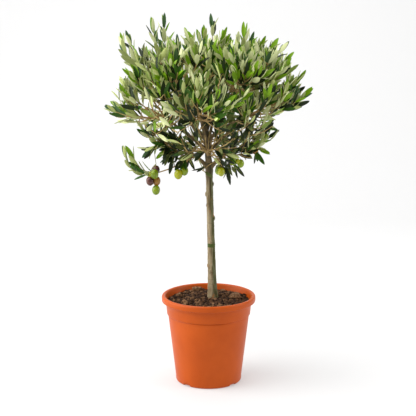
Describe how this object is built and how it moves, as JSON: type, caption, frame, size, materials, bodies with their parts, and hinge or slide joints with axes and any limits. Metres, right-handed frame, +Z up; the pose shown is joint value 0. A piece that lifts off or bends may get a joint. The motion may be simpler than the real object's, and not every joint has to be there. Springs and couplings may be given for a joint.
{
  "type": "potted olive tree",
  "caption": "Young olive tree grown as a standard, with a clear trunk, a rounded crown of silvery leaves and ripening olives, in a moulded plastic pot of soil.",
  "frame": {"origin": "middle of the pot's flat underside, on the ground", "axes": "+Z up, along the height of the tree; -Y towards the front; +X to the right seen from the front"},
  "size_m": [0.4615, 0.4431, 0.8229],
  "materials": {
    "pot": "satin",
    "soil": "matte",
    "bark": "matte",
    "foliage": "satin"
  },
  "bodies": {
    "root": {"pot": "pot", "soil": "soil", "trunk": "bark", "bough_low_1": "bark", "bough_low_2": "bark", "bough_low_3": "bark", "bough_low_4": "bark", "bough_middle_1": "bark", "bough_middle_2": "bark", "bough_middle_3": "bark", "bough_middle_4": "bark", "bough_middle_5": "bark", "bough_middle_6": "bark", "bough_upper_1": "bark", "bough_upper_2": "bark", "bough_upper_3": "bark", "bough_upper_4": "bark", "bough_top": "bark", "foliage_low_1": "foliage", "foliage_low_2": "foliage", "foliage_low_3": "foliage", "foliage_low_4": "foliage", "foliage_middle_1": "foliage", "foliage_middle_2": "foliage", "foliage_middle_3": "foliage", "foliage_middle_4": "foliage", "foliage_middle_5": "foliage", "foliage_middle_6": "foliage", "foliage_upper_1": "foliage", "foliage_upper_2": "foliage", "foliage_upper_3": "foliage", "foliage_upper_4": "foliage", "foliage_top": "foliage"}
  },
  "joints": []
}
